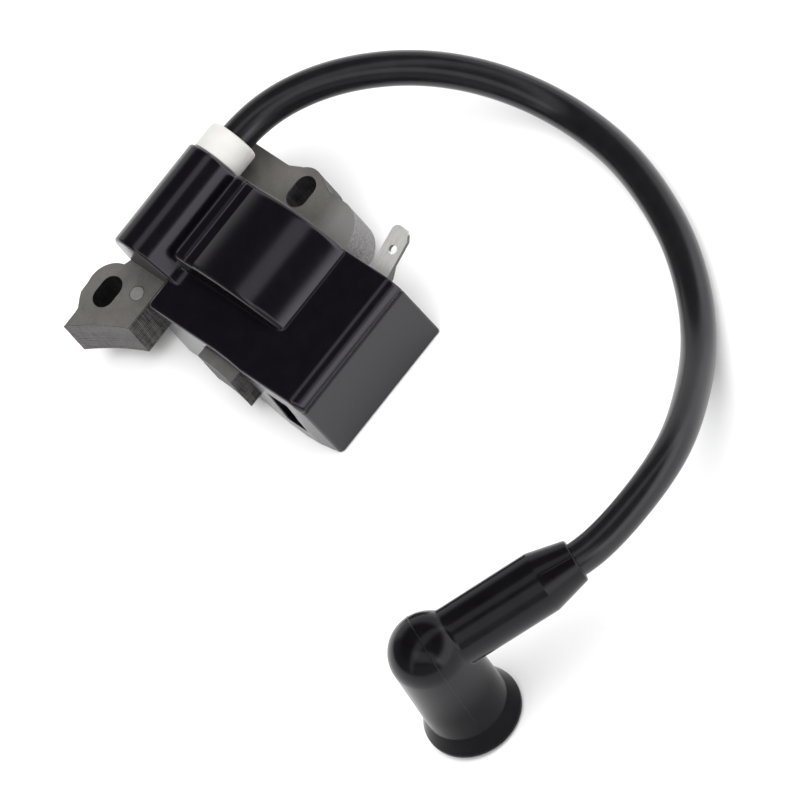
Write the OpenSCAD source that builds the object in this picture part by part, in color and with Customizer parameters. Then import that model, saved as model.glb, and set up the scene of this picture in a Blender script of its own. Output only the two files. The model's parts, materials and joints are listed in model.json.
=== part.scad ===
// Ignition coil module for a small two-stroke engine: a riveted, laminated
// U-shaped core, a moulded and potted winding box with its high-tension
// barrel, a spade terminal, and a short high-tension lead with an elbow boot.
// The coil lies on its back: +Z is up, the flywheel side is -Y.

/* [Core] */
// Thickness of the lamination stack
stack_t = 10; // [8:0.5:11]
// Width of the outer leg
leg_w = 10.1; // [9:0.1:11]
// Radius of the circle that the two pole faces are cut to
pole_r = 51.4; // [50:0.2:60]
// Width of the two mounting slots
slot_w = 4.6; // [4.3:0.1:5.2]
// End to end length of the two mounting slots
slot_len = 7; // [6:0.5:8]
// Diameter of the rivets through the stack
rivet_d = 3; // [2.5:0.5:3.5]

/* [Winding box] */
// Length of the box along the flywheel's tangent
box_x = 45; // [44:0.5:47]
// Depth of the box, from the flywheel side to the back
box_y = 30.4; // [30.4:0.2:31]
// Height of the box
box_z = 19.4; // [19.4:0.2:21]
// Radius of the box's long top edge
edge_r = 3.3; // [2:0.1:4]
// Wall thickness of the box
wall = 1; // [0.8:0.1:1.2]

/* [Winding hump] */
// Length of the hump along X
hump_x = 29.7; // [29:0.1:31]
// Where the hump's front face stands, from the box's front face
hump_y0 = 9.9; // [9:0.1:10.5]
// Height of the hump's crown over the base
hump_z = 26.6; // [26:0.1:28]

/* [High-tension barrel] */
// Outer radius of the barrel
barrel_r = 6.1; // [5.8:0.1:6.4]
// Height of the barrel's axis
barrel_z = 21.1; // [21:0.1:21.6]
// Radius of the white bush's collar
bush_r = 5.3; // [5:0.1:5.6]
// How far the collar stands out of the barrel
bush_out = 6; // [4:0.5:8]

/* [Lead and boot] */
// Diameter of the high-tension lead
lead_d = 7; // [6.6:0.1:7]
// Outer radius of the boot's neck
neck_r = 6.3; // [5.9:0.1:6.5]
// From the elbow's centre to the neck's tip
neck_len = 33.2; // [30:0.2:34]
// From the elbow's centre to the mouth
bell_h = 24.2; // [23:0.1:26]
// Radius of the mouth's lip
lip_r = 10; // [9.2:0.1:10.2]
// Radius of the mouth's bore, which grips the plug's insulator
mouth_r = 6.6; // [6:0.1:7]

/* [Terminal] */
// Width of the spade terminal
tab_w = 4.8; // [4.8, 6.3]
// Thickness of the spade terminal
tab_t = 0.8; // [0.5:0.1:0.8]

/* [Hidden] */
$fn = 64;
e = 0.01;

// the stack's lower and upper face
sz0 = box_z / 2 - stack_t / 2 + 0.1;
sz1 = sz0 + stack_t;
// the pole circle's centre, which is the flywheel's axis
fly = [14.5, -2.1 - pole_r];
// outer leg, inner leg and yoke
lx1 = -3.1;
lx0 = lx1 - leg_w;
rx0 = 14;
rx1 = 25.4;
tip_x1 = 24.4;
yoke_y0 = 30.6;
yoke_y1 = 38.8;
// mounting slots
slot_a = [-12.6, -1.4];
slot_b = [8.9, 35.8];
lug_r = 5.4;
bump_r = 4.4;
bump_c = [8.4, 36.6];
// barrel
bx = -6.9;
by0 = 6.2;
by1 = box_y + 0.1;
// height of the high-tension wire, low in the barrel's web
wire_z = barrel_z - 1.7;
// pole corner of the outer leg
px0 = -15.7;
// windings, all round the inner leg
wx0 = rx0 - 0.1;
wx1 = rx1 + 0.1;
wz0 = sz0 - 0.1;
wz1 = sz1 + 0.1;
// pick-up core
kx0 = 33.1;
kx1 = 38.3;
// spade terminal
tx = 34.4;
tz = 12.6;
tab_up = 16;
// lead: radius, and the elbow's place and heading
lr = lead_d / 2;
elbow = [108.9, -26.6, 24.9];
head = 69;
dip = 3.8;

// the object's own box is centred on the origin
xa = slot_a[0] - lug_r;
xb = box_x;
ya = fly[1] + sqrt(pole_r * pole_r - (px0 - fly[0]) * (px0 - fly[0]));
yb = bump_c[1] + bump_r;
mid = [(xa + xb) / 2, (ya + yb) / 2];
module place() translate([-mid[0], -mid[1], 0]) children();

// an X-Z profile, drawn in the plane, that runs from y0 to y1
module along_y(y0, y1)
  translate([0, y1, 0]) rotate([90, 0, 0]) linear_extrude(y1 - y0) children();
module flat(z0, z1) translate([0, 0, z0]) linear_extrude(z1 - z0) children();
module brick(a, b) translate(a) cube(b - a);
module slot2d(c, w, l) {
  for (s = [-1, 1]) translate([c[0], c[1] + s * (l - w) / 2]) circle(w / 2);
  translate([c[0] - w / 2, c[1] - (l - w) / 2]) square([w, l - w]);
}
module rect2d(x0, z0, x1, z1) translate([x0, z0]) square([x1 - x0, z1 - z0]);
module round2d(x0, z0, x1, z1, r) {
  rect2d(x0 + r, z0, x1 - r, z1);
  rect2d(x0, z0 + r, x1, z1 - r);
  for (x = [x0 + r, x1 - r], z = [z0 + r, z1 - r]) translate([x, z]) circle(r);
}

// ---------- core ----------
module plate() flat(sz0, sz1) children();
module cut() flat(sz0 - 1, sz1 + 1) children();
module core_body() difference() {
  union() {
    // outer leg, with its lug and its wider pole
    plate() polygon([[px0, -16], [lx1, -16], [lx1, yoke_y1 - 4], [lx0, yoke_y1 - 4],
      [lx0, -7.2], [px0, -7.2]]);
    plate() polygon([[px0 + 0.6, -8.2], [-17.2, -5.2], [-17.75, -4], [-17.7, -1.9],
      [-10, -1.9], [-10, -8.2]]);
    plate() translate([slot_a[0], -0.4]) circle(lug_r);
    plate() polygon([[-13.9, 4.2], [-13, 6.3], [-8, 6.3], [-8, 0], [-10, 0]]);
    // yoke, with a rounded end over the inner leg
    plate() rect2d(lx0 + 2, yoke_y0, rx1 - 1, yoke_y1 - 6.9);
    plate() rect2d(lx0 + 4, yoke_y0 + 1, rx1 - 6.9, yoke_y1);
    plate() translate([lx0 + 4, yoke_y1 - 4]) circle(4);
    plate() intersection() {
      translate([rx1 - 6.9, yoke_y1 - 6.9]) circle(6.9);
      translate([rx1 - 6.9, yoke_y1 - 6.9]) square(7);
    }
    // the ear round the back slot
    plate() translate(bump_c) circle(bump_r);
    plate() polygon([[-1, yoke_y1 - 1.5], [5.2, 39.9], [8.4, 40.4], [11.6, 39.9],
      [17.8, yoke_y1 - 1.5]]);
    // inner leg and its narrower tip
    plate() polygon([[rx0, -6], [tip_x1, -6], [tip_x1, 2], [rx1, 2],
      [rx1, yoke_y1 - 6.9], [rx0, yoke_y1 - 6.9]]);
  }
  cut() slot2d(slot_a, slot_w, slot_len);
  cut() slot2d(slot_b, slot_w, slot_len);
  cut() translate(fly) circle(pole_r, $fn = 128);
  for (c = rivet_at) cut() translate(c) circle(rivet_d / 2 + 0.02);
}
rivet_at = [[-6.8, 1.5], [-8, 34.6]];
module core_stack() color("#6e6b64") place() core_body();
module core_rivets() color("#a9a8a4") place()
  for (c = rivet_at) translate([c[0], c[1], sz0]) {
    cylinder(r = rivet_d / 2, h = stack_t);
  }

// ---------- housing ----------
// the hump's arch: a long flat curve that turns down in a tight one
arch_r = 60;
arch_c = [11, hump_z - arch_r];
turn_r = 8;
turn_x = hump_x - turn_r;
turn_c = [turn_x, arch_c[1] + sqrt((arch_r - turn_r) * (arch_r - turn_r)
  - (turn_x - arch_c[0]) * (turn_x - arch_c[0]))];
turn_d = (turn_c - arch_c) / (arch_r - turn_r);
module arch2d(t) {
  // t: how far inside the outer skin
  difference() {
    intersection() {
      translate(arch_c) circle(arch_r - t, $fn = 180);
      rect2d(t, 12, hump_x - t, 40);
    }
    polygon([turn_c, turn_c + turn_d * 20, [turn_c[0] + 30, turn_c[1] + 20],
      [turn_c[0] + 30, turn_c[1]]]);
  }
  translate(turn_c) circle(turn_r - t);
}
module box2d(t) {
  r = edge_r - t / 2;
  rect2d(t, 0, box_x - t - r, box_z - t);
  rect2d(t, 0, box_x - t, box_z - t - r);
  translate([box_x - t - r, box_z - t - r]) circle(r);
}
// the pad on the flywheel face, round the pick-up pole; its top leans back
module pad() intersection() {
  flat(0, box_z) polygon([[22.4, 0.5], [22.4, 0], [24, -0.8], [28, -1.05],
    [36, -1.25], [39.5, -1.05], [42, -0.7], [45 - 0.6, -0.3], [45 - 0.4, 0.5]]);
  translate([0, -1.25, 0]) rotate([-1.9, 0, 0]) cube([60, 10, 40]);
}
module barrel2d(t) {
  translate([bx, barrel_z]) circle(barrel_r - t);
  rect2d(bx - barrel_r + t, sz1, bx, barrel_z);
  rect2d(bx, sz1, 0.5, barrel_z);
}
module housing() color("#17161a") place() difference() {
  union() {
    along_y(0, box_y) box2d(0);
    along_y(hump_y0, box_y) arch2d(0);
    along_y(by0, by1) barrel2d(0);
    pad();
  }
  // inside of the box and of the hump
  along_y(wall, box_y - wall) difference() {
    box2d(wall);
    rect2d(-1, -1, 60, -0.5);
  }
  brick([wall, wall, -1], [box_x - wall, box_y - wall, 3]);
  along_y(hump_y0 + wall, box_y - wall) arch2d(wall);
  // inner leg passes through both faces
  brick([rx0, box_y - wall - 1, sz0], [rx1, box_y + 1, sz1]);
  brick([rx0, -2, sz0], [tip_x1, wall + 1, sz1]);
  // pick-up pole's window
  brick([kx0, -2, sz0], [kx1, wall + 1, sz1]);
  // spade terminal's slot
  brick([tx - tab_w / 2, box_y - wall - 1, tz - tab_t / 2],
    [tx + tab_w / 2, box_y + 1, tz + tab_t / 2]);
  // bore for the lead and seat for the bush, from the barrel's back
  translate([bx, 13, barrel_z]) rotate([-90, 0, 0]) cylinder(r = lr + 0.15, h = 20);
  translate([bx, 23.9, barrel_z]) rotate([-90, 0, 0]) cylinder(r = 4.75, h = 20);
  // chamber of the high-tension post, and the wire's way into the hump
  translate([bx, 8.6, barrel_z]) rotate([-90, 0, 0]) cylinder(r = 2.6, h = 5);
  translate([bx, 11.9, wire_z]) rotate([0, 90, 0]) cylinder(r = 0.5, h = 9);
}
module potting() color("#1d1c20") place()
  difference() {
    brick([wall, wall, 0], [box_x - wall, box_y - wall, 1.2]);
    // shallow sink where the resin pulls down as it cures
    translate([box_x / 2, box_y / 2, -59.7]) sphere(r = 60, $fn = 128);
  }

// ---------- windings ----------
// a square tube round the inner leg, from y0 to y1
module sleeve(y0, y1, a, b, r = 0.6) along_y(y0, y1) difference() {
  round2d(wx0 - b, wz0 - b, wx1 + b, wz1 + b, r + b / 2);
  if (a > 0.05) round2d(wx0 - a, wz0 - a, wx1 + a, wz1 + a, 0.3 + a / 2);
  else rect2d(wx0, wz0, wx1, wz1);
}
module primary_bobbin() color("#d9d4c4") place() {
  sleeve(3, 28, 0, 0.6);
  for (y = [3, 27.2]) sleeve(y, y + 0.8, 0, 1.65);
}
module primary_winding() color("#9c4a1e") place() sleeve(3.85, 27.15, 0.62, 1.6);
module secondary_bobbin() color("#c9c3ad") place() {
  sleeve(4.4, 26.6, 1.7, 2.2);
  for (i = [0:4]) sleeve(4.4 + i * 5.35, 5.2 + i * 5.35, 1.7, 3.2);
}
module secondary_winding() color("#b5622b") place()
  for (i = [0:3]) sleeve(5.25 + i * 5.35, 9.7 + i * 5.35, 2.22, 3);

// ---------- pick-up coil ----------
module trigger_core() color("#6e6b64") place()
  brick([kx0, 0.4, sz0], [kx1, 24, sz1]);
module collar(y0, y1, a, b) along_y(y0, y1) difference() {
  round2d(kx0 - b, sz0 - b, kx1 + b, sz1 + b, 0.2 + b / 2);
  rect2d(kx0 - a, sz0 - a, kx1 + a, sz1 + a);
}
module trigger_bobbin() color("#d9d4c4") place() {
  collar(3, 23, 0.08, 0.6);
  for (y = [3, 22.2]) collar(y, y + 0.8, 0.08, 1.7);
}
module trigger_winding() color("#9c4a1e") place() collar(3.85, 22.15, 0.62, 1.5);

// ---------- electronics ----------
module circuit_board() color("#2f6b3c") place() difference() {
  brick([1.7, 4, 2.6], [2.5, 27, 17.6]);
  for (y = [6, 25], z = [4.5, 15.6]) translate([1, y, z]) rotate([0, 90, 0])
    cylinder(r = 0.5, h = 3);
}
module capacitor() color("#b8860b") place()
  translate([0, 0, 18.9]) linear_extrude(5) round2d(6.4, 13, 22.4, 27, 0.8);
module thyristor() color("#202020") place() {
  brick([2.55, 9, 5.2], [5.4, 16.6, 13]);
  brick([2.55, 9.6, 13], [3.2, 16, 16.8]);
}
module diodes() color("#303030") place() for (z = [5, 9])
  translate([4, 18.4, z]) rotate([-90, 0, 0]) {
    cylinder(r = 1.35, h = 5.2);
    translate([0, 0, -1.2]) cylinder(r = 0.4, h = 7.6);
  }
module resistors() color("#c8b48c") place() for (z = [12.6, 15.4])
  translate([3.7, 18.6, z]) rotate([-90, 0, 0]) {
    cylinder(r = 1.1, h = 5);
    translate([0, 0, -1.2]) cylinder(r = 0.3, h = 7.4);
  }
// a bent strip from the board to the inner leg: the circuit's ground
module ground_strip() color("#b9a15a") place() {
  brick([2.55, 28.1, 9.2], [13.9, 29.2, 9.6]);
  brick([2.55, 25.2, 9.2], [3.6, 28.12, 9.6]);
}
// spade terminal: a foot in the resin, and a blade bent up behind the box
module kill_terminal() color("#c6c6c0") place() {
  brick([tx - tab_w / 2, 26, tz - tab_t / 2], [tx + tab_w / 2, box_y + 0.25, tz + tab_t / 2]);
  brick([tx - tab_w / 2, 26, tz - 3.2], [tx + tab_w / 2, 26 + tab_t, tz]);
  translate([tx, box_y + 0.2, tz]) rotate([tab_up, 0, 0]) difference() {
    union() {
      linear_extrude(tab_t, center = true) polygon([[-tab_w / 2, -0.15],
        [-tab_w / 2, 9.6], [-tab_w / 2 + 0.5, 10.4], [-0.9, 10.7], [0.9, 10.6],
        [tab_w / 2 - 0.7, 9.9], [tab_w / 2, 8.7], [tab_w / 2, -0.15]]);
      // gussets folded down beside the bend
      for (s = [-1, 1]) translate([s * (tab_w / 2 - tab_t / 2), 0, 0])
        rotate([90, 0, 90]) linear_extrude(tab_t, center = true)
          polygon([[0.3, 0], [4.4, 0], [0.9, -1.6], [0.3, -1.6]]);
    }
    translate([0.25, 5.95, 0]) cylinder(r = 0.95, h = 3, center = true);
  }
}

// ---------- high-tension side ----------
module rod(a, b, r) {
  d = b - a;
  l = norm(d);
  translate(a) rotate([0, acos(d[2] / l), atan2(d[1], d[0])]) cylinder(r = r, h = l, $fn = 24);
}
wire_at = [[bx + 1.75, 11.9, wire_z], [4, 11.9, wire_z], [4, 11.9, 17.4], [10.6, 11.9, 17.4]];
module hv_wire() color("#b87333") place() {
  for (i = [0:2]) rod(wire_at[i], wire_at[i + 1], 0.35);
  for (i = [1, 2]) translate(wire_at[i]) sphere(r = 0.35, $fn = 24);
}
module hv_post() color("#c9b25a") place() translate([bx, 0, barrel_z]) rotate([-90, 0, 0]) {
  translate([0, 0, 11.2]) cylinder(r = 2.2, h = 1.4);
  translate([0, 0, 12.6]) cylinder(r = 0.9, h = 6.6);
  translate([0, 0, 19.2]) cylinder(r1 = 0.9, r2 = 0.1, h = 1.8);
}
module lead_bush() color("#efece4") place() difference() {
  translate([bx, 0, barrel_z]) rotate([-90, 0, 0]) rotate_extrude()
    polygon([[lr + 0.12, 24], [4.6, 24], [4.6, by1 + 0.05], [bush_r, by1 + 0.05],
      [bush_r, by1 + bush_out - 0.8], [bush_r - 0.3, by1 + bush_out - 0.25],
      [bush_r - 0.8, by1 + bush_out], [lr + 0.12, by1 + bush_out]]);
}

// the lead: control points of one smooth curve, from the post inside the
// barrel, out of the bush, down to the surface and up into the boot
sn = sin(head); cs = cos(head);
function neck(t) = elbow + t * [cs * cos(dip), sn * cos(dip), -sin(dip)];
route = concat([[bx, 6, 21.1], [bx, 16, 21.1], [bx, 26, 21.1], [bx, 36, 21.1],
  [-5.5, 46, 21.1], [2, 57.5, 21], [13, 68, 18], [24, 75, 12], [35, 78.5, 6],
  [46.5, 79, 3.5], [58, 77.5, 3.5], [69.5, 74, 3.5], [80, 69.5, 3.5],
  [90.5, 62.5, 3.5], [100.5, 54, 5.5], [110.5, 44.5, 12], [119.5, 34, 18.5],
  [123, 21.5, 22]], [for (t = [38, 31, 24, 13.5, 3]) neck(t)]);
function bspl(p, i, u) = ((1 - u) * (1 - u) * (1 - u) * p[i]
  + (3 * u * u * u - 6 * u * u + 4) * p[i + 1]
  + (-3 * u * u * u + 3 * u * u + 3 * u + 1) * p[i + 2] + u * u * u * p[i + 3]) / 6;
steps = 3;
spans = len(route) - 3;
line = concat([for (i = [0:spans - 1], k = [0:steps - 1]) bspl(route, i, k / steps)],
  [bspl(route, spans - 1, 1)]);
function unit(v) = v / norm(v);
sides = 12;
module tube(p, r) {
  n = len(p);
  t = [for (i = [0:n - 1]) unit(p[min(i + 1, n - 1)] - p[max(i - 1, 0)])];
  a = [for (i = [0:n - 1]) unit(cross([0, 0, 1], t[i]))];
  b = [for (i = [0:n - 1]) cross(t[i], a[i])];
  pts = [for (i = [0:n - 1], k = [0:sides - 1])
    p[i] + r * (cos(k * 360 / sides) * a[i] + sin(k * 360 / sides) * b[i])];
  polyhedron(points = pts, faces = concat(
    [[for (k = [0:sides - 1]) k]],
    [for (i = [0:n - 2], k = [0:sides - 1]) [i * sides + k, (i + 1) * sides + k,
      (i + 1) * sides + (k + 1) % sides, i * sides + (k + 1) % sides]],
    [[for (k = [sides - 1:-1:0]) (n - 1) * sides + k]]), convexity = 6);
}
module lead_jacket() color("#1a1a1c") place() tube(line, lr);

// ---------- boot ----------
// local frame of the boot: +X along the neck, -Z down the bell
module at_boot() place() translate(elbow) rotate([0, 0, head]) rotate([0, dip, 0]) children();
module neckwise() rotate([0, 90, 0]) children();
module boot() color("#141416") at_boot() difference() {
  union() {
    // bell, domed over the elbow and flared to its lip
    rotate_extrude() difference() {
      union() {
        intersection() { circle(8.2); rect2d(0, 0, 9, 9); }
        polygon([[0, 0], [8.2, 0], [8.3, -10], [8.45, -bell_h + 4.8],
          [8.8, -bell_h + 4.4], [lip_r, -bell_h + 0.9], [lip_r, -bell_h], [0, -bell_h]]);
      }
      rect2d(-20, -40, 0, 20);
    }
    // neck, and the sleeve that tapers onto the lead
    neckwise() cylinder(r = neck_r, h = neck_len - 7.8);
    neckwise() translate([0, 0, neck_len - 7.8]) cylinder(r1 = neck_r, r2 = 4.4, h = 7.8);
  }
  // mouth, room for the contact spring, and the lead's bore
  translate([0, 0, -bell_h - 1]) cylinder(r = mouth_r, h = 16);
  translate([0, 0, -bell_h + 14.9]) cylinder(r = 3.6, h = 9);
  neckwise() translate([0, 0, 9]) cylinder(r = lr + 0.3, h = 40);
  neckwise() translate([0, 0, -1.3]) cylinder(r = 1.2, h = 11);
}
// contact spring: closed turns that snap over the plug's terminal
module boot_spring() color("#bdbdb6") at_boot()
  for (i = [0:5]) translate([0, 0, -8.6 + i * 0.95]) rotate_extrude()
    translate([2.9, 0]) circle(0.4, $fn = 16);
// the hook over the spring and the spike that reaches the lead's strands
module boot_terminal() color("#bdbdb6") at_boot() {
  translate([0, 0, -3.3]) cylinder(r = 3.2, h = 0.6);
  translate([0, 0, -2.72]) cylinder(r = 0.6, h = 3.3);
  neckwise() cylinder(r = 0.6, h = 9.6);
}

core_stack();
core_rivets();
housing();
potting();
primary_bobbin();
primary_winding();
secondary_bobbin();
secondary_winding();
trigger_core();
trigger_bobbin();
trigger_winding();
circuit_board();
capacitor();
thyristor();
diodes();
resistors();
ground_strip();
kill_terminal();
hv_wire();
hv_post();
lead_bush();
lead_jacket();
boot();
boot_spring();
boot_terminal();
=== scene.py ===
import json
import math
import bpy
import numpy as np
from mathutils import Matrix, Vector
from mathutils.geometry import tessellate_polygon


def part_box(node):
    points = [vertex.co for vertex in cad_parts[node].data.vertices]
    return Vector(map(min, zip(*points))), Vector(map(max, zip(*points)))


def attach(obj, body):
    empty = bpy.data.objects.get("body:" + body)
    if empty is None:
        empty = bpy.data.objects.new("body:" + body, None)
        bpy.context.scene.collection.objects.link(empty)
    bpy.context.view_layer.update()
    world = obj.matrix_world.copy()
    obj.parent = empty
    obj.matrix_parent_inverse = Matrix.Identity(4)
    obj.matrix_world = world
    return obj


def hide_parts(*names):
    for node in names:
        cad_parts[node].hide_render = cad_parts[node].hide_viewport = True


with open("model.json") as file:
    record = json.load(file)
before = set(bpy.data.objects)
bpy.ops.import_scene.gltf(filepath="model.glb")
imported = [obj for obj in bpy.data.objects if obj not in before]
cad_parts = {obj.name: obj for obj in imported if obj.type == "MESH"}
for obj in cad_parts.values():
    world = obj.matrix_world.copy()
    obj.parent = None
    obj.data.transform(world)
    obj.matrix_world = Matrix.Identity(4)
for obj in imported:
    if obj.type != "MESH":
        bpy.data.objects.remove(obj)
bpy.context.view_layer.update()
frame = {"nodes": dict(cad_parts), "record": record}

nodes = frame["nodes"]
scene = bpy.context.scene
scene.view_settings.view_transform = "Standard"

# the design frame's offset from the row frame, in mm, read off the core's box
core_lo, core_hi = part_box("core_stack")
MID = np.array([-18.0 - core_lo.x * 1000, 41.0 - core_hi.y * 1000, 0.0])


def row(p):
    """Design millimetres to the row frame's metres."""
    return (np.asarray(p, float) - MID) / 1000.0


# ---------------------------------------------------------------- camera
right = Vector((0.67456, 0.61813, -0.40359)).normalized()
up = Vector((-0.44597, 0.77689, 0.44448))
back = right.cross(up).normalized()
up = back.cross(right)
aim = Vector((0.0340, 0.00025, 0.00007)) + right * 0.00010 - up * 0.0002
FAR, WIDE = 7.0, 0.15432
cam_data = bpy.data.cameras.new("camera")
cam_data.sensor_width = 36
cam_data.lens = 36 * FAR / WIDE
cam_data.clip_start, cam_data.clip_end = 0.5, 30
cam = bpy.data.objects.new("camera", cam_data)
scene.collection.objects.link(cam)
m = Matrix((right, up, back)).transposed().to_4x4()
m.translation = aim + back * FAR
cam.matrix_world = m
scene.camera = cam


# ---------------------------------------------------------------- node helpers
class Nodes:
    """A material's node tree, with short calls for the nodes used here."""

    def __init__(self, name):
        self.mat = bpy.data.materials.new(name)
        self.mat.use_nodes = True
        self.t = self.mat.node_tree
        self.t.nodes.clear()
        self.out = self.t.nodes.new("ShaderNodeOutputMaterial")
        self.bsdf = self.t.nodes.new("ShaderNodeBsdfPrincipled")
        self.link(self.bsdf.outputs[0], self.out.inputs[0])
        self.pos = self.t.nodes.new("ShaderNodeTexCoord").outputs["Object"]

    def link(self, a, b):
        self.t.links.new(a, b)

    def put(self, socket, value):
        if hasattr(value, "is_output"):
            self.link(value, socket)
        else:
            socket.default_value = value

    def scaled(self, s):
        n = self.t.nodes.new("ShaderNodeMapping")
        self.link(self.pos, n.inputs["Vector"])
        n.inputs["Scale"].default_value = s if hasattr(s, "__len__") else (s, s, s)
        return n.outputs[0]

    def noise(self, s, detail=3.0, rough=0.55, distort=0.0):
        n = self.t.nodes.new("ShaderNodeTexNoise")
        self.link(self.scaled(s), n.inputs["Vector"])
        n.inputs["Scale"].default_value = 1.0
        n.inputs["Detail"].default_value = detail
        n.inputs["Roughness"].default_value = rough
        n.inputs["Distortion"].default_value = distort
        return n.outputs["Fac"]

    def cells(self, s):
        n = self.t.nodes.new("ShaderNodeTexVoronoi")
        self.link(self.scaled(s), n.inputs["Vector"])
        n.inputs["Scale"].default_value = 1.0
        return n.outputs["Distance"]

    def math(self, op, a, b=0.0, c=0.0, clamp=False):
        n = self.t.nodes.new("ShaderNodeMath")
        n.operation = op
        n.use_clamp = clamp
        for i, v in enumerate((a, b, c)):
            self.put(n.inputs[i], v)
        return n.outputs[0]

    def ramp(self, v, stops, smooth=False):
        n = self.t.nodes.new("ShaderNodeValToRGB")
        self.put(n.inputs[0], v)
        r = n.color_ramp
        if smooth:
            r.interpolation = "EASE"
        while len(r.elements) < len(stops):
            r.elements.new(0.5)
        for e, (p, c) in zip(r.elements, stops):
            e.position = p
            e.color = (c, c, c, 1) if isinstance(c, (int, float)) else (*c, 1)
        return n.outputs[0]

    def mix(self, f, a, b):
        n = self.t.nodes.new("ShaderNodeMix")
        n.data_type = "RGBA"
        self.put(n.inputs[0], f)
        for i, v in ((6, a), (7, b)):
            self.put(n.inputs[i], v if hasattr(v, "is_output") else (*v, 1))
        return n.outputs[2]

    def xyz(self, v=None):
        n = self.t.nodes.new("ShaderNodeSeparateXYZ")
        self.link(v or self.pos, n.inputs[0])
        return n.outputs

    def normal(self):
        return self.t.nodes.new("ShaderNodeNewGeometry").outputs["Normal"]

    def bump(self, h, dist, strength=1.0, after=None):
        n = self.t.nodes.new("ShaderNodeBump")
        self.link(h, n.inputs["Height"])
        n.inputs["Strength"].default_value = strength
        n.inputs["Distance"].default_value = dist
        if after:
            self.link(after, n.inputs["Normal"])
        return n.outputs[0]

    def set(self, **values):
        names = {"color": "Base Color", "rough": "Roughness", "metal": "Metallic",
                 "ior": "IOR", "normal": "Normal", "spec": "Specular IOR Level",
                 "coat": "Coat Weight", "coat_rough": "Coat Roughness",
                 "sss": "Subsurface Weight", "sss_scale": "Subsurface Scale",
                 "aniso": "Anisotropic", "tint": "Specular Tint"}
        for k, v in values.items():
            if k in ("color", "tint") and not hasattr(v, "is_output"):
                v = (*v, 1)
            self.put(self.bsdf.inputs[names[k]], v)
        return self.mat


def plastic(name, dark, light, rough=(0.2, 0.3), fine=9000.0, bump=0.0000025, patch=260.0,
            tint=(1.0, 1.0, 1.0), spec=0.5):
    """A moulded or cast surface: faint colour drift, eroded-tool texture in roughness and bump."""
    n = Nodes(name)
    drift = n.noise(patch, 4.0, 0.6)
    tex = n.noise(fine, 2.0, 0.5)
    mottle = n.noise(patch * 5, 3.0, 0.6)
    r = n.ramp(n.math("ADD", n.math("MULTIPLY", mottle, 0.6), n.math("MULTIPLY", tex, 0.4)),
               [(0.3, rough[0]), (0.7, rough[1])])
    return n.set(color=n.mix(n.ramp(drift, [(0.3, 0), (0.7, 1)]), dark, light), rough=r,
                 normal=n.bump(tex, bump), tint=tint, spec=spec)


def metal(name, dark, light, rough=(0.25, 0.4), scale=(900, 900, 900), bump=0.000002,
          metallic=1.0):
    n = Nodes(name)
    a = n.noise(scale, 5.0, 0.65)
    b = n.noise(tuple(5 * s for s in scale), 3.0, 0.6)
    both = n.math("ADD", n.math("MULTIPLY", a, 0.6), n.math("MULTIPLY", b, 0.4))
    return n.set(color=n.mix(n.ramp(both, [(0.3, 0), (0.7, 1)]), dark, light), metal=metallic,
                 rough=n.ramp(b, [(0.3, rough[0]), (0.7, rough[1])]), normal=n.bump(b, bump))


def wound(name, dark, light, turns, axis=1):
    """Enamelled wire wound side by side: ridges across the winding's axis, with painted shade in the
    grooves between turns and a painted highlight on each crest.
    """
    n = Nodes(name)
    t = n.math("FRACT", n.math("MULTIPLY", n.xyz()[axis], turns))
    ridge_and_shade = n.math("SINE", n.math("MULTIPLY", t, math.pi))
    tone = n.noise((300, turns / 3, 300), 3.0)
    # the colour follows the turn profile: painted shade in the grooves, painted highlight on the
    # crests
    return n.set(color=n.mix(n.math("MULTIPLY", n.math("ADD", ridge_and_shade, tone), 0.5), dark, light),
                 metal=0.85, rough=n.ramp(tone, [(0.3, 0.25), (0.7, 0.42)]),
                 normal=n.bump(ridge_and_shade, 0.25 / turns))


def paint(obj, mat):
    obj.data.materials.clear()
    obj.data.materials.append(mat)


# ---------------------------------------------------------------- the lead
BX, BZ = -6.9, 21.1
ELBOW = np.array([108.9, -26.6, 24.9])
HEAD, DIP = math.radians(69), math.radians(3.8)
AX = np.array([math.cos(HEAD) * math.cos(DIP), math.sin(HEAD) * math.cos(DIP), -math.sin(DIP)])
AZ = np.array([math.sin(DIP) * math.cos(HEAD), math.sin(DIP) * math.sin(HEAD), math.cos(DIP)])
AY = np.cross(AZ, AX)
# the control points of the lead's B-spline, the same as the frame's, in mm
ROUTE = [[-6.9, 6, 21.1], [-6.9, 16, 21.1], [-6.9, 26, 21.1], [-6.9, 36, 21.1],
         [-5.5, 46, 21.1], [2, 57.5, 21], [13, 68, 18], [24, 75, 12], [35, 78.5, 6],
         [46.5, 79, 3.5], [58, 77.5, 3.5], [69.5, 74, 3.5], [80, 69.5, 3.5],
         [90.5, 62.5, 3.5], [100.5, 54, 5.5], [110.5, 44.5, 12], [119.5, 34, 18.5],
         [123, 21.5, 22]] + [list(ELBOW + t * AX) for t in (38, 31, 24, 13.5, 3)]
LEAD_D = 0.007
curve = bpy.data.curves.new("lead", "CURVE")
curve.dimensions = "3D"
curve.bevel_depth = LEAD_D / 2
curve.bevel_resolution = 10
curve.use_fill_caps = True
curve.resolution_u = 14
curve.twist_mode = "MINIMUM"
spline = curve.splines.new("NURBS")
spline.points.add(len(ROUTE) - 1)
for q, p in zip(spline.points, ROUTE):
    q.co = (*row(p), 1)
spline.order_u = 4
spline.use_endpoint_u = False
spline.use_cyclic_u = False
lead = bpy.data.objects.new("lead", curve)
scene.collection.objects.link(lead)


# ---------------------------------------------------------------- stage
def add_mesh(name, verts, faces, smooth=True):
    me = bpy.data.meshes.new(name)
    me.from_pydata([tuple(v) for v in verts], [], [tuple(f) for f in faces])
    me.validate()
    ob = bpy.data.objects.new(name, me)
    scene.collection.objects.link(ob)
    me.polygons.foreach_set("use_smooth", [smooth] * len(me.polygons))
    return ob


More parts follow.
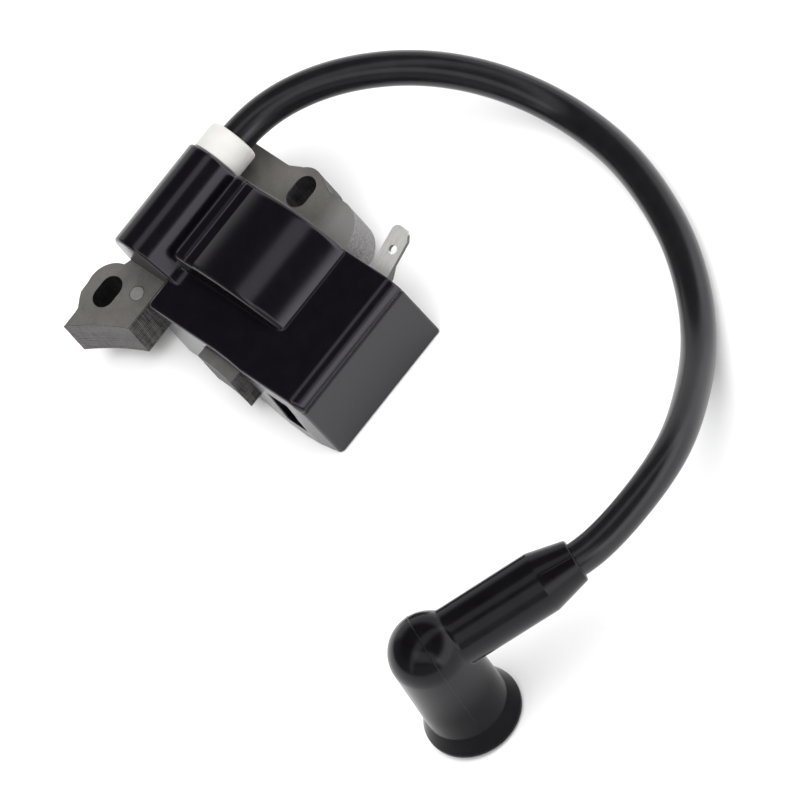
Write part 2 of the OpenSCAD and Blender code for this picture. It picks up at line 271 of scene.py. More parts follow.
floor = add_mesh("floor", [(-3, -3, -0.0001), (3, -3, -0.0001), (3, 3, -0.0001), (-3, 3, -0.0001)],
                 [(0, 1, 2, 3)])
n = Nodes("floor_paper")
paint(floor, n.set(color=n.mix(n.noise(9.0, 2.0), (0.86, 0.86, 0.86), (0.885, 0.885, 0.885)),
                   rough=n.ramp(n.noise(500.0, 2.0), [(0.3, 0.85), (0.7, 0.95)]),
                   normal=n.bump(n.noise(700.0, 2.0), 0.00001)))

world = bpy.data.worlds.new("studio")
scene.world = world
world.use_nodes = True
wt = world.node_tree
wt.nodes.clear()


def wn(kind, **kw):
    node = wt.nodes.new(kind)
    for k, v in kw.items():
        setattr(node, k, v)
    return node


def wmath(op, a, b=0.0, clamp=False):
    node = wn("ShaderNodeMath", operation=op, use_clamp=clamp)
    for i, v in enumerate((a, b)):
        if hasattr(v, "is_output"):
            wt.links.new(v, node.inputs[i])
        else:
            node.inputs[i].default_value = v
    return node.outputs[0]


def wstep(v, a, b, lo=0.0, hi=1.0):
    node = wn("ShaderNodeMapRange", interpolation_type="SMOOTHSTEP")
    wt.links.new(v, node.inputs["Value"])
    for k, x in (("From Min", a), ("From Max", b), ("To Min", lo), ("To Max", hi)):
        node.inputs[k].default_value = x
    return node.outputs[0]


coords = wn("ShaderNodeTexCoord")
sep = wn("ShaderNodeSeparateXYZ")
wt.links.new(coords.outputs["Generated"], sep.inputs[0])
dx, dy, dz = sep.outputs
side = wmath("MULTIPLY", wmath("ARCTAN2", dx, dz), 180 / math.pi)
# a long soft tube overhead, bright low surroundings, dark between them
tube = wmath("MULTIPLY", wstep(side, -12, -6), wstep(side, 10, 16, 1.0, 0.0))
low = wmath("MULTIPLY", wstep(dz, 0.34, 0.60, 1.0, 0.0), wstep(dx, -0.6, 0.5, 0.8, 2.3))
low = wmath("MULTIPLY", low, wstep(dy, -0.27, -0.13, 0.2, 1.0))


def toward(v):
    """How far the direction points along v."""
    node = wn("ShaderNodeVectorMath", operation="DOT_PRODUCT")
    wt.links.new(coords.outputs["Generated"], node.inputs[0])
    node.inputs[1].default_value = tuple(v)
    return node.outputs["Value"]


# a soft box beside the camera
rise = toward(up)
box = wmath("MULTIPLY", wstep(rise, -0.50, -0.38), wstep(rise, -0.02, 0.08, 1.0, 0.0))
box = wmath("MULTIPLY", box, wmath("MULTIPLY", wstep(dy, -0.10, -0.02, 1.0, 0.0),
                                   wstep(toward(back), 0.62, 0.8)))
total = wmath("ADD", wmath("ADD", wmath("MULTIPLY", tube, 0.95), low), 0.045)
total = wmath("ADD", total, wmath("MULTIPLY", box, 1.2))
bg = wn("ShaderNodeBackground")
wt.links.new(total, bg.inputs["Strength"])
bg.inputs["Color"].default_value = (1, 1, 1, 1)
wo = wn("ShaderNodeOutputWorld")
wt.links.new(bg.outputs[0], wo.inputs[0])


def soft_light(name, at, size, power, glossy=False):
    data = bpy.data.lights.new(name, "AREA")
    data.shape = "SQUARE"
    data.size = size
    data.energy = power
    ob = bpy.data.objects.new(name, data)
    scene.collection.objects.link(ob)
    ob.location = at
    ob.rotation_mode = "QUATERNION"
    ob.rotation_quaternion = (Vector(at) - Vector((0.03, 0, 0))).to_track_quat("Z", "Y")
    ob.visible_glossy = glossy
    return ob


soft_light("overhead", (0.03, 0.0, 2.4), 3.4, 112)


# ---------------------------------------------------------------- distance fields
def unite(a, b, r):
    return np.maximum(r, np.minimum(a, b)) - np.hypot(np.maximum(r - a, 0), np.maximum(r - b, 0))


def cross(a, b, r):
    return np.minimum(-r, np.maximum(a, b)) + np.hypot(np.maximum(r + a, 0), np.maximum(r + b, 0))


def chain(x, z, parts):
    """A convex outline of tangent arcs and lines, left to right: (centre, radius, last normal angle)
    for an arc, where a radius of None is a line through the point with that normal angle."""
    out = np.full(x.shape, np.nan)
    todo = np.ones(x.shape, bool)
    for (cx, cz), r, last in parts:
        a = math.radians(last)
        if r is None:
            d = (x - cx) * math.sin(a) + (z - cz) * math.cos(a)
            here = todo & ((x - cx) * math.cos(a) - (z - cz) * math.sin(a) <= 0) \
                if (cx, cz) != parts[-1][0] else todo
        else:
            d = np.hypot(x - cx, z - cz) - r
            here = todo & ((x - cx) * math.cos(a) - (z - cz) * math.sin(a) <= 0)
        out[here] = d[here]
        todo &= ~here
    out[todo] = d[todo]
    return out


def net(name, f, lo, hi, h):
    """A smooth quad mesh of the surface f = 0, its points set on the surface and its normals
    taken from the field, in mm."""
    ax = [np.arange(lo[k], hi[k] + h, h) for k in range(3)]
    g = np.stack(np.meshgrid(*ax, indexing="ij"), -1)
    v = f(g.reshape(-1, 3)).reshape(g.shape[:3])
    dims = np.array(v.shape) - 1
    acc = np.zeros((*dims, 3))
    cnt = np.zeros(dims)
    found = []
    for k in range(3):
        sa = [slice(None)] * 3
        sb = [slice(None)] * 3
        sa[k], sb[k] = slice(0, -1), slice(1, None)
        a, b = v[tuple(sa)], v[tuple(sb)]
        i = np.argwhere((a < 0) != (b < 0))
        ia = tuple(i.T)
        t = a[ia] / (a[ia] - b[ia])
        p = g[tuple(sa)][ia].copy()
        p[:, k] += t * h
        u, w = (k + 1) % 3, (k + 2) % 3
        ok = (i[:, u] > 0) & (i[:, w] > 0) & (i[:, u] < dims[u]) & (i[:, w] < dims[w])
        i, p, inside = i[ok], p[ok], (a[ia] < 0)[ok]
        cells = []
        for du, dw in ((1, 1), (0, 1), (0, 0), (1, 0)):
            c = i.copy()
            c[:, u] -= du
            c[:, w] -= dw
            np.add.at(acc, tuple(c.T), p)
            np.add.at(cnt, tuple(c.T), 1)
            cells.append(np.ravel_multi_index(tuple(c.T), tuple(dims)))
        q = np.stack(cells, 1)
        q[~inside] = q[~inside][:, ::-1]
        found.append(q)
    quads = np.concatenate(found)
    used, inv = np.unique(quads, return_inverse=True)
    quads = inv.reshape(quads.shape)
    pts = acc.reshape(-1, 3)[used] / cnt.reshape(-1)[used][:, None]

    def grad(p, e=0.012):
        out = np.empty_like(p)
        for k in range(3):
            d = np.zeros(3)
            d[k] = e
            out[:, k] = (f(p + d) - f(p - d)) / (2 * e)
        return out

    for _ in range(4):
        gr = grad(pts)
        step = (f(pts) / np.maximum((gr ** 2).sum(1), 0.2))[:, None] * gr
        length = np.linalg.norm(step, axis=1, keepdims=True)
        pts -= step * np.minimum(1, 0.4 * h / np.maximum(length, 1e-9))
    gr = grad(pts, 0.1)
    normals = gr / np.maximum(np.linalg.norm(gr, axis=1, keepdims=True), 1e-6)
    return pts, quads, normals


def net_object(name, pts, quads, normals):
    me = bpy.data.meshes.new(name)
    me.vertices.add(len(pts))
    me.vertices.foreach_set("co", pts.astype(np.float32).ravel())
    me.loops.add(quads.size)
    me.loops.foreach_set("vertex_index", quads.astype(np.int32).ravel())
    me.polygons.add(len(quads))
    me.polygons.foreach_set("loop_start", np.arange(0, quads.size, 4, dtype=np.int32))
    me.polygons.foreach_set("loop_total", np.full(len(quads), 4, np.int32))
    me.update(calc_edges=True)
    me.polygons.foreach_set("use_smooth", [True] * len(quads))
    me.normals_split_custom_set_from_vertices(normals.astype(float).tolist())
    ob = bpy.data.objects.new(name, me)
    scene.collection.objects.link(ob)
    return ob


# ---------------------------------------------------------------- winding box
BOX_TOP = [((40.46, 19.4), None, 0), ((40.46, 16.2), 3.2, 45), ((38.97, 14.71), 5.3, 62),
           ((43.65, 17.20), None, 62)]
ARCH = [((15.2, -0.6), 27.2, 0), ((15.2, 6.6), 20.0, 23.6), ((17.2, 11.18), 15.0, 90)]
PAD_X = [0, 19, 23, 27, 31, 36, 39.5, 42, 44.4, 45.4]
PAD_Y = [0, 0, 0.22, 0.62, 1.0, 1.2, 1.05, 0.7, 0.3, 0.0]


def box_profile(x, z):
    top = chain(x, z, BOX_TOP)
    s = ((x - 44.1) * 16.35 + (z - 16.35) * 0.9) / 16.3748
    notch = 0.27 - np.hypot(x - 44.1, z - 16.3)
    return np.maximum(cross(top, s, 0.08), notch)


def hump_top(x, z):
    arch = cross(chain(x, z, ARCH), 6.5 - x, 0.05)
    shelf = cross(z - 25.42, x - 13.0, 0.05)
    bead = np.hypot(x - 4.95, z - 25.32) - 0.4
    top = np.minimum(np.minimum(arch, shelf), bead)
    return cross(top, 0.2 - x, 3.0)


def barrel_profile(x, z):
    ring = np.hypot(x - BX, z - BZ) - 6.1
    post = np.maximum(np.abs(x - BX) - 6.1, z - BZ)
    web = np.maximum(BX - x, z - 19.4)
    # the side towards the windings runs down straight, at 51 degrees from level
    slope = np.maximum.reduce([(x + 2.160) * 0.7771 + (z - 24.939) * 0.6293, BX - x,
                               z - 24.939 - (x + 2.160) * 0.81])
    f = unite(np.minimum(np.minimum(ring, post), slope), np.maximum(web, x - 12.0), 1.4)
    return cross(f, 14.8 - z, 0.1)


def housing_field(p):
    x, y, z = p.T
    front = -np.minimum(np.interp(x, PAD_X, PAD_Y), np.maximum(1.25 - 0.0332 * z, 0)) - y
    plan = cross(-x, front, 1.2)
    body = cross(plan, box_profile(x, z), 0.9)
    body = cross(body, y - 30.4, 0.45)
    body = cross(body, -z, 0.3)
    tower = cross(barrel_profile(x, z), np.abs(y - 18.3) - 12.1, 0.75)
    hump_plan = cross(cross(0.2 - x, 9.9 - y, 2.2), y - 30.4, 0.45)
    hump = cross(hump_plan, hump_top(x, z), 1.3)
    hump = np.maximum(hump, 12 - z)
    f = np.minimum(body, tower)
    f = unite(f, hump, 0.3)
    # the hollow for the windings, open below
    hollow = np.maximum.reduce([box_profile(x, z) + 1.0, 1.0 - x, 1.0 - y, y - 29.4])
    up_hollow = np.maximum.reduce([hump_top(x, z) + 1.0, 2.4 - x, 10.9 - y, y - 29.4, 12 - z])
    hollow = np.minimum(hollow, up_hollow)
    r = np.hypot(x - BX, z - BZ)
    hollow = np.minimum(hollow, np.maximum(r - 3.65, 13.0 - y))
    hollow = np.minimum(hollow, np.maximum(r - 4.72, 23.9 - y))
    hollow = np.minimum(hollow, np.maximum.reduce([r - 2.6, 8.6 - y, y - 14.0]))
    hollow = np.minimum(hollow, np.maximum.reduce(
        [np.hypot(y - 11.9, z - BZ + 1.7) - 0.45, BX - x, x - 3.3]))

    def block(x0, x1, y0, y1, z0, z1):
        return np.maximum.reduce([x0 - x, x - x1, y0 - y, y - y1, z0 - z, z - z1])

    hollow = np.minimum(hollow, block(13.95, 24.45, -3, 2, 4.75, 14.85))
    hollow = np.minimum(hollow, block(13.95, 25.45, 28, 33, 4.75, 14.85))
    hollow = np.minimum(hollow, block(33.05, 38.35, -3, 2, 4.75, 14.85))
    hollow = np.minimum(hollow, block(31.95, 36.85, 28, 33, 12.15, 13.05))
    return cross(f, -hollow, 0.1)


H = 0.4
pts, quads, normals = net("winding_box", housing_field, (-13.9, -2.1, -0.9), (46.0, 31.6, 27.6), H)
winding_box = net_object("winding_box", row(pts), quads, normals)
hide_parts("housing")
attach(winding_box, "coil")

# thin raised seams and marks on the moulding
def wire(name, points, r, body, sides=10):
    """A thin raised seam: a closed tube of radius r mm along the points."""
    p = np.array(points, float)
    t = np.gradient(p, axis=0)
    t /= np.linalg.norm(t, axis=1, keepdims=True)
    a = np.cross(t[0], [0.3, 0.5, 0.8])
    a /= np.linalg.norm(a)
    verts, faces = [], []
    for i, (q, d) in enumerate(zip(p, t)):
        a = a - d * (a @ d)
        a /= np.linalg.norm(a)
        b = np.cross(d, a)
        rr = r * (0.15 if i in (0, len(p) - 1) else 1)
        verts += [row(q + rr * (math.cos(2 * math.pi * k / sides) * a
                                + math.sin(2 * math.pi * k / sides) * b)) for k in range(sides)]
    for i in range(len(p) - 1):
        for k in range(sides):
            k2 = (k + 1) % sides
            faces.append((i * sides + k, i * sides + k2, (i + 1) * sides + k2, (i + 1) * sides + k))
    faces.append(tuple(range(sides))[::-1])
    faces.append(tuple((len(p) - 1) * sides + k for k in range(sides)))
    ob = add_mesh(name, verts, faces)
    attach(ob, body)
    return ob


# ---------------------------------------------------------------- boot
BELL_Z = [-24.2, -23.2, -20.2, -19.5, -10, 0]
BELL_R = [10.0, 10.0, 8.75, 8.45, 8.3, 8.2]
NECK_X = [0, 25.4, 33.2, 40]
NECK_R = [6.25, 6.35, 4.45, 4.2]


def boot_field(q):
    x, y, z = q.T
    rz = np.hypot(x, y)
    wall = rz - np.interp(z, BELL_Z, BELL_R)
    bell = np.where(z > 0, np.sqrt(rz ** 2 + z ** 2) - 8.2, wall * 0.97)
    bell = cross(bell, -24.2 - z, 0.35)
    rx = np.hypot(y, z)
    neck = (rx - np.interp(x, NECK_X, NECK_R)) * 0.985
    neck = np.maximum(cross(neck, x - 33.2, 0.35), -x)
    f = unite(bell, neck, 0.25)
    hollow = np.maximum(rz - 6.6, z + 9.2)
    hollow = np.minimum(hollow, np.maximum(rz - 3.6, z + 0.3))
    hollow = np.minimum(hollow, np.maximum(rx - 3.78, 9 - x))
    hollow = np.minimum(hollow, np.maximum.reduce([rx - 1.2, -1.3 - x, x - 9.8]))
    return cross(f, -hollow, 0.25)


def boot_place(q):
    q = np.asarray(q, float)
    return ELBOW + q[..., 0:1] * AX + q[..., 1:2] * AY + q[..., 2:3] * AZ


HB = 0.3
pts, quads, normals = net("boot_skin", boot_field, (-11, -10.9, -25), (34.2, 10.9, 9), HB)
turn = np.stack([AX, AY, AZ])
boot_skin = net_object("boot_skin", row(boot_place(pts)), quads, normals @ turn)
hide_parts("boot")
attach(boot_skin, "plug_boot")


# ---------------------------------------------------------------- laminations
def arc(c, r, a0, a1, n):
    return [(c[0] + r * math.cos(math.radians(a0 + (a1 - a0) * i / n)),
             c[1] + r * math.sin(math.radians(a0 + (a1 - a0) * i / n))) for i in range(n + 1)]


FLY, POLE_R = (14.5, -53.5), 51.4


def pole(x0, x1, n):
    return [(x, FLY[1] + math.sqrt(POLE_R ** 2 - (x - FLY[0]) ** 2))
            for x in np.linspace(x0, x1, n + 1)]


def slot_loop(c, w, length):
    s = (length - w) / 2
    return arc((c[0], c[1] + s), w / 2, 0, 180, 20) + arc((c[0], c[1] - s), w / 2, 180, 360, 20)


SLOT_A, SLOT_B = (-12.6, -1.4), (8.9, 35.8)
OUTLINE = (pole(-15.7, -3.1, 22)
           + [(-3.1, y) for y in (2, 10, 20, 28)] + [(-3.1, 30.6), (5, 30.6)]
           + [(14, 30.6), (14, 22), (14, 10), (14, 2)]
           + pole(14, 24.4, 18)
           + [(24.4, 2), (25.4, 2), (25.4, 12), (25.4, 22)]
           + arc((18.5, 31.9), 6.9, 0, 90, 24)
           + [(14.22, 38.8), (11.6, 39.9)]
           + arc((8.4, 36.6), 4.4, 50, 130, 26)
           + [(5.2, 39.9), (2.577, 38.8)]
           + arc((-9.2, 34.8), 4.0, 90, 180, 18)
           + [(-13.2, 26), (-13.2, 16), (-13.2, 7.1), (-13.05, 6.35), (-13.6, 4.9)]
           + arc((-12.6, -0.4), 5.4, 106, 196, 30)
           + [(-17.75, -3.2), (-17.72, -4.2), (-17.2, -5.2), (-15.85, -7.2), (-15.7, -8.2)])
HOLES = [slot_loop(SLOT_A, 4.6, 7.0), slot_loop(SLOT_B, 4.6, 7.0),
         arc((-6.8, 1.5), 1.52, 0, 345, 23), arc((-8.0, 34.6), 1.52, 0, 345, 23)]


def offset(loop, d):
    """The loop moved inward by d, on its own left side."""
    p = np.array(loop)
    a, b = np.roll(p, 1, 0), np.roll(p, -1, 0)
    t1, t2 = p - a, b - p
    t1 /= np.linalg.norm(t1, axis=1, keepdims=True) + 1e-12
    t2 /= np.linalg.norm(t2, axis=1, keepdims=True) + 1e-12
    n1 = np.stack([-t1[:, 1], t1[:, 0]], 1)
    n2 = np.stack([-t2[:, 1], t2[:, 0]], 1)
    m = n1 + n2
    m /= np.maximum((m ** 2).sum(1, keepdims=True), 0.5) / 2
    return p + m * d


def clean(loop):
    p = [loop[0]]
    for q in loop[1:]:
        if math.dist(q, p[-1]) > 0.02:
            p.append(q)
    if math.dist(p[0], p[-1]) < 0.02:
        p.pop()
    return p


def laminations(name, outer, holes, z0, z1, count, seed, plane="z", y_to=None):
    """count punched plates, each its own closed solid with eased edges."""
    rng = np.random.default_rng(seed)
    loops = [clean(outer)] + [clean(h)[::-1] for h in holes]
    if sum(a[0] * b[1] - b[0] * a[1] for a, b in zip(loops[0], loops[0][1:] + loops[0][:1])) < 0:
        loops[0] = loops[0][::-1]
    base = [offset(l, 0.055) for l in loops]
    tri = tessellate_polygon([[Vector((*p, 0)) for p in l] for l in base])
    total = sum(len(l) for l in loops)
    t = (z1 - z0) / count
    verts, faces = [], []
    for k in range(count):
        shift = rng.normal(0, 0.006, 2)
        grow = rng.normal(0, 0.01)
        edge = [offset(l, 0.0 + max(-0.02, min(0.02, grow)) + 0.02) + shift for l in loops]
        soft = [offset(l, 0.075) + shift for l in loops]
        o = len(verts)
        top = z0 + (k + 1) * t
        bot = z0 + k * t
        last, first = k == count - 1, k == 0
        rings = [(soft, bot + 0.004), (edge, bot + (0.07 if not first else 0.06)),
                 (edge, top - (0.07 if not last else 0.06)), (soft, top - 0.004 * (not last))]
        for shape, z in rings:
            for l in shape:
                verts += [row((p[0], p[1], z)) for p in l]
        for ring in range(3):
            s = 0
            for l in loops:
                n_l = len(l)
                for i in range(n_l):
                    j = (i + 1) % n_l
                    a0 = o + ring * total + s
                    faces.append((a0 + i, a0 + j, a0 + total + j, a0 + total + i))
                s += n_l
        for a, b, c in tri:
            pa, pb, pc = [np.concatenate(base)[i] for i in (a, b, c)]
            area = (pb[0] - pa[0]) * (pc[1] - pa[1]) - (pb[1] - pa[1]) * (pc[0] - pa[0])
            if area < 0:
                b, c = c, b
            faces.append((o + 3 * total + a, o + 3 * total + b, o + 3 * total + c))
            faces.append((o + a, o + c, o + b))
    return add_mesh(name, verts, faces, smooth=False)


Z0, Z1 = core_lo.z * 1000, core_hi.z * 1000
core = laminations("core_plates", OUTLINE, HOLES, Z0, Z1, 20, 7)
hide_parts("core_stack")
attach(core, "coil")
pick_lo, pick_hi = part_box("trigger_core")
px0, px1 = pick_lo.x * 1000 + MID[0], pick_hi.x * 1000 + MID[0]
py0, py1 = pick_lo.y * 1000 + MID[1], pick_hi.y * 1000 + MID[1]
pick = laminations("pickup_plates", [(px0, py0), (px1, py0), (px1, py1), (px0, py1)], [],
                   pick_lo.z * 1000, pick_hi.z * 1000, 20, 11)
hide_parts("trigger_core")
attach(pick, "coil")


# ---------------------------------------------------------------- turned pieces
def lathe(name, profile, place, steps=96, closed=True):
    """Turns (radius, height) points about the local Z; place maps local points to mm."""
    verts, faces = [], []
    for r, h in profile:
        for i in range(steps):
            a = 2 * math.pi * i / steps
            verts.append(row(place(r * math.cos(a), r * math.sin(a), h)))
    k = len(profile)
    for j in range(k if closed else k - 1):
        for i in range(steps):
            i2, j2 = (i + 1) % steps, (j + 1) % k
            faces.append((j * steps + i, j * steps + i2, j2 * steps + i2, j2 * steps + i))
    if not closed:
        faces.append(tuple(range(steps))[::-1])
        faces.append(tuple((k - 1) * steps + i for i in range(steps)))
    return add_mesh(name, verts, faces)


def round_profile(points, radii, n=6):
    out = []
    k = len(points)
    for i in range(k):
        p, r = np.array(points[i], float), radii[i]
        if r <= 0:
            out.append(tuple(p))
            continue
        a = np.array(points[i - 1], float) - p
        b = np.array(points[(i + 1) % k], float) - p
        a /= np.linalg.norm(a)
        b /= np.linalg.norm(b)
        half = math.acos(max(-1, min(1, a @ b))) / 2
        d = r / math.tan(half)
        for s in range(n + 1):
            t = s / n
            q0, q1, q2 = p + a * d, p, p + b * d
            out.append(tuple((1 - t) ** 2 * q0 + 2 * t * (1 - t) * q1 + t * t * q2))
    return out


ring = round_profile([(3.62, 24.0), (4.6, 24.0), (4.6, 30.55), (5.3, 30.55), (5.3, 36.5),
                      (3.62, 36.5)], [0.1, 0.2, 0, 0.3, 0.95, 0.35])
bush = lathe("bush_ring", ring[::-1], lambda a, b, h: (BX + a, h, BZ + b), 128)
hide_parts("lead_bush")
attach(bush, "coil")
heads = []
for k, (cx, cy) in enumerate([(-6.8, 1.5), (-8.0, 34.6)]):
    prof = round_profile([(0.001, Z0 + 0.02), (1.5, Z0 + 0.02), (1.5, Z1 + 0.07),
                          (1.05, Z1 + 0.09), (0.001, Z1 + 0.03)], [0, 0.1, 0.18, 0.1, 0])
    heads.append(lathe(f"rivet_{k + 1}", prof, lambda a, b, h, cx=cx, cy=cy: (cx + a, cy + b, h),
                       48, closed=False))
    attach(heads[-1], "coil")
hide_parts("core_rivets")

# ---------------------------------------------------------------- seams
tiny = []
seam = []
for a in np.linspace(-88, 88, 60):
    seam.append(boot_place(np.array([0.0, 8.2 * math.sin(math.radians(a)),
                                     8.2 * math.cos(math.radians(a))])))
lower = [boot_place(np.array([0.0, -np.interp(z, BELL_Z, BELL_R), z]))
         for z in np.linspace(-23.9, -0.5, 22)]
upper = [boot_place(np.array([0.0, np.interp(z, BELL_Z, BELL_R), z]))
         for z in np.linspace(-0.5, -23.9, 22)]
boot_seam = wire("boot_seam", lower + seam + upper, 0.15, "plug_boot")
# the parting line on the boot's tapered end
split = [boot_place(np.array([x, -math.sin(0.42) * r, math.cos(0.42) * r]))
         for x, r in ((x, np.interp(x, NECK_X, NECK_R) - 0.02) for x in np.linspace(25.9, 32.9, 14))]
boot_split = wire("boot_split", split, 0.14, "plug_boot")

# ---------------------------------------------------------------- materials
m_box = plastic("moulded_black", (0.0022, 0.0018, 0.0030), (0.0036, 0.0030, 0.0046),
                rough=(0.15, 0.22), fine=7000.0, bump=0.0000016, tint=(0.94, 0.91, 1.0))
m_boot = plastic("boot_rubber", (0.0022, 0.0019, 0.0026), (0.0040, 0.0036, 0.0044),
                 rough=(0.15, 0.23), fine=5000.0, bump=0.000002, tint=(0.95, 0.92, 1.0), spec=0.5)
m_boot.node_tree.nodes["Principled BSDF"].inputs["IOR"].default_value = 1.32
# the skirt is duller than the neck, with a bloom on the rubber
bt = m_boot.node_tree
where = bt.nodes.new("ShaderNodeSeparateXYZ")
tex = [k for k in bt.nodes if k.bl_idname == "ShaderNodeTexCoord"][0]
bt.links.new(tex.outputs["Object"], where.inputs[0])
fall = bt.nodes.new("ShaderNodeMapRange")
fall.interpolation_type = "SMOOTHSTEP"
bt.links.new(where.outputs[2], fall.inputs["Value"])
for k, v in (("From Min", 0.011), ("From Max", 0.022), ("To Min", 0.17), ("To Max", 0.5)):
    fall.inputs[k].default_value = v
bt.links.new(fall.outputs[0], bt.nodes["Principled BSDF"].inputs["Specular IOR Level"])
m_lead = plastic("lead_rubber", (0.0045, 0.0045, 0.005), (0.0075, 0.0073, 0.0078),
                 rough=(0.2, 0.28), fine=3500.0, bump=0.000004, tint=(0.95, 0.93, 1.0), spec=0.4)
m_bush = plastic("bush_white", (0.50, 0.493, 0.475), (0.55, 0.543, 0.522), rough=(0.38, 0.5),
                 fine=3500.0, bump=0.000004)
m_bush.node_tree.nodes["Principled BSDF"].inputs["Subsurface Weight"].default_value = 0.15
m_bush.node_tree.nodes["Principled BSDF"].inputs["Subsurface Scale"].default_value = 0.001
m_resin = plastic("resin", (0.006, 0.006, 0.007), (0.016, 0.015, 0.016), rough=(0.1, 0.35),
                  fine=1800.0, bump=0.00002, patch=120.0)

# rolled sheet: flat faces satin and mottled, punched edges darker with each plate's own tone
n = Nodes("laminated_steel")
nz = n.math("ABSOLUTE", n.xyz(n.normal())[2])
flat = n.ramp(nz, [(0.80, 0.0), (0.97, 1.0)])
cloud = n.noise(150.0, 4.0, 0.6, 0.5)
grain = n.noise((3500, 1400, 900), 3.0, 0.6)
speck = n.noise(2600.0, 2.0, 0.7)
face_tone = n.math("ADD", n.math("MULTIPLY", cloud, 0.55),
                   n.math("ADD", n.math("MULTIPLY", grain, 0.25), n.math("MULTIPLY", speck, 0.2)))
face = n.mix(n.ramp(face_tone, [(0.33, 0), (0.66, 1)]), (0.118, 0.111, 0.104), (0.195, 0.186, 0.176))
plate_no = n.math("FLOOR", n.math("MULTIPLY", n.math("SUBTRACT", n.xyz()[2], 0.0048), 2000.0))
white = n.t.nodes.new("ShaderNodeTexWhiteNoise")
white.noise_dimensions = "1D"
n.link(plate_no, white.inputs["W"])
streak = n.noise((2200, 2200, 240), 3.0, 0.7)
edge_tone = n.math("ADD", n.math("MULTIPLY", white.outputs["Value"], 0.12),
                   n.math("MULTIPLY", streak, 0.88))
edge = n.mix(n.ramp(edge_tone, [(0.34, 0), (0.66, 1)]), (0.034, 0.031, 0.031), (0.175, 0.163, 0.162))
within = n.math("FRACT", n.math("MULTIPLY", n.math("SUBTRACT", n.xyz()[2], 0.0048), 2000.0))
gap = n.math("ABSOLUTE", n.math("SUBTRACT", within, 0.5))
ground = n.ramp(n.math("MULTIPLY", n.xyz(n.normal())[1], -1.0), [(0.55, 0.0), (0.9, 0.75)])
edge = n.mix(ground, edge, (0.135, 0.127, 0.128))
slit = n.math("MULTIPLY", n.ramp(gap, [(0.24, 0.0), (0.46, 0.95)]),
              n.math("SUBTRACT", 1.0, n.math("MULTIPLY", ground, 0.85)))
edge = n.mix(slit, edge, (0.008, 0.007, 0.007))
# the yoke's end is lighter and pitted, its flat side paler too
east, north, _ = n.xyz()
pits = n.ramp(n.noise(2900.0, 3.0, 0.75), [(0.34, 0.0), (0.6, 1.0)])
pale_pitted = n.mix(pits, (0.15, 0.14, 0.145), (0.31, 0.297, 0.302))
end = n.math("MULTIPLY", n.ramp(n.math("MULTIPLY", east, 50.0), [(0.10, 0.0), (0.32, 1.0)]),
             n.ramp(n.math("MULTIPLY", north, 40.0), [(0.05, 0.0), (0.75, 1.0)]))
edge = n.mix(n.math("MULTIPLY", end, 0.8), edge, pale_pitted)
face = n.mix(n.math("MULTIPLY", end, 0.75), face, (0.27, 0.262, 0.252))
# little light reaches the walls of the two slots
for (cx, cy), near, dim in ((SLOT_A, 2.75, 0.95), (SLOT_B, 2.75, 0.55)):
    mx, my = row((cx, cy, 0))[:2]
    u = n.math("SUBTRACT", east, float(mx))
    v = n.math("MULTIPLY", n.math("SUBTRACT", north, float(my)), 0.66)
    d = n.math("SQRT", n.math("ADD", n.math("MULTIPLY", u, u), n.math("MULTIPLY", v, v)))
    inside = n.ramp(n.math("MULTIPLY", d, 1000.0 / near / 1.25), [(0.78, dim), (0.82, 0.0)])
    edge = n.mix(inside, edge, (0.004, 0.0035, 0.0038))
m_steel = n.set(color=n.mix(flat, edge, face), metal=0.55,
                rough=n.ramp(n.math("ADD", n.math("MULTIPLY", speck, 0.5),
                                    n.math("MULTIPLY", cloud, 0.5)), [(0.3, 0.46), (0.7, 0.6)]),
                normal=n.bump(n.math("ADD", grain, streak), 0.000006, 0.8))

m_rivet = metal("rivet", (0.22, 0.215, 0.21), (0.33, 0.325, 0.315), rough=(0.42, 0.58),
                scale=(1500, 1500, 1500), metallic=0.6, bump=0.000006)
n = Nodes("tinned")
brushed = n.noise((2500, 350, 900), 5.0, 0.65)
dull = n.noise((5200, 1800, 4500), 3.0, 0.6)
# faces turned towards ±X, the blade's sheared edges, are painted near black: darker bare metal plus
# painted shade
sheared_edge_shade = n.ramp(n.math("ABSOLUTE", n.xyz(n.normal())[0]), [(0.55, 0.0), (0.85, 0.9)])
tin = n.mix(n.ramp(brushed, [(0.3, 0), (0.7, 1)]), (0.60, 0.595, 0.575), (0.76, 0.755, 0.73))
m_tin = n.set(color=n.mix(sheared_edge_shade, tin, (0.035, 0.033, 0.032)), metal=0.6,
              rough=n.ramp(dull, [(0.3, 0.3), (0.7, 0.42)]), normal=n.bump(dull, 0.000003))
m_spring = metal("spring_steel", (0.45, 0.45, 0.45), (0.7, 0.7, 0.68), rough=(0.2, 0.35),
                 scale=(1800, 1800, 1800))
m_brass = metal("brass_post", (0.55, 0.38, 0.14), (0.75, 0.55, 0.25), rough=(0.2, 0.35),
                scale=(900, 900, 900))
m_copper = wound("copper_wire", (0.33, 0.1, 0.035), (0.68, 0.3, 0.12), 2500)
m_fine = wound("fine_wire", (0.38, 0.15, 0.05), (0.75, 0.4, 0.2), 9000)
m_bobbin = plastic("bobbin", (0.62, 0.57, 0.46), (0.72, 0.68, 0.57), rough=(0.35, 0.5),
                   fine=3000.0, bump=0.000004)
n = Nodes("board")
weave = n.math("MULTIPLY", n.math("SINE", n.math("MULTIPLY", n.xyz()[1], 9000.0)),
               n.math("SINE", n.math("MULTIPLY", n.xyz()[2], 9000.0)))
m_board = n.set(color=n.mix(n.ramp(n.math("ADD", n.math("MULTIPLY", weave, 0.3),
                                          n.noise(900.0)), [(0.3, 0), (0.8, 1)]),
                            (0.02, 0.12, 0.05), (0.05, 0.23, 0.1)),
                rough=n.ramp(n.noise(1500.0), [(0.3, 0.25), (0.7, 0.45)]),
                normal=n.bump(weave, 0.00001))
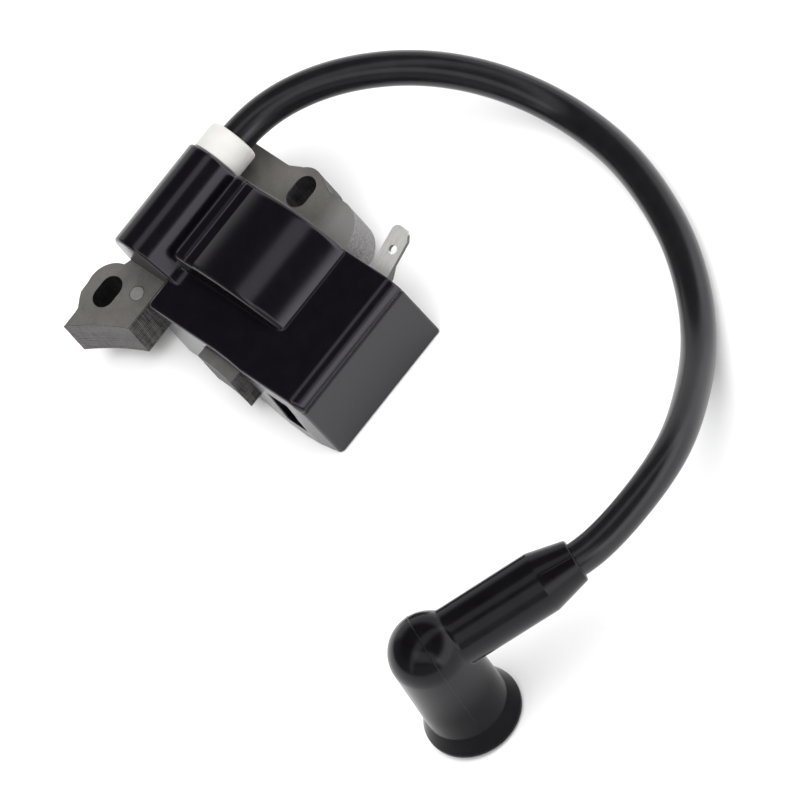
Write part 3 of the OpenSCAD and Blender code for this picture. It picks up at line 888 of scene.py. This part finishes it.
m_film = plastic("film_capacitor", (0.42, 0.17, 0.03), (0.6, 0.3, 0.08), rough=(0.15, 0.3),
                 fine=1500.0, bump=0.00001)
m_pack = plastic("package_black", (0.012, 0.012, 0.013), (0.03, 0.03, 0.032), rough=(0.4, 0.6),
                 fine=4000.0, bump=0.000008)
n = Nodes("resistor")
band = n.math("FRACT", n.math("MULTIPLY", n.xyz()[1], 820.0))
m_res = n.set(color=n.mix(n.ramp(band, [(0.18, 1), (0.22, 0), (0.6, 0), (0.64, 0.6), (0.8, 0.6)]),
                          (0.66, 0.54, 0.36), (0.25, 0.06, 0.02)),
              rough=n.ramp(n.noise(2500.0), [(0.3, 0.25), (0.7, 0.4)]),
              normal=n.bump(n.noise(3000.0), 0.000006))

SLOT_MAT = {"laminated_steel": m_steel, "rivet": m_rivet, "moulded_black": m_box,
            "resin": m_resin, "bobbin": m_bobbin, "copper_wire": m_copper, "fine_wire": m_fine,
            "board": m_board, "film_capacitor": m_film, "package_black": m_pack,
            "resistor": m_res, "tinned": m_tin, "brass_post": m_brass, "bush_white": m_bush,
            "lead_rubber": m_lead, "boot_rubber": m_boot, "spring_steel": m_spring}
for part in frame["record"]["subparts"]:
    if part["node"] in nodes:
        paint(nodes[part["node"]], SLOT_MAT[part["material_slot"]])
for ob, slot in [(winding_box, "moulded_black"), (boot_skin, "boot_rubber"),
                 (boot_seam, "boot_rubber"), (boot_split, "boot_rubber"), (core, "laminated_steel"),
                 (pick, "laminated_steel"), (bush, "bush_white"), (lead, "lead_rubber"),
                 *[(h, "rivet") for h in heads]]:
    paint(ob, SLOT_MAT[slot])

for name, width in (("kill_terminal", 0.00004), ("ground_strip", 0.00006),
                    ("capacitor", 0.0003), ("circuit_board", 0.00005)):
    b = nodes[name].modifiers.new("eased", "BEVEL")
    b.width = width
    b.segments = 2
    b.limit_method = "ANGLE"
    b.angle_limit = math.radians(40)

# ---------------------------------------------------------------- cord
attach(lead, "coil")
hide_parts("lead_jacket")
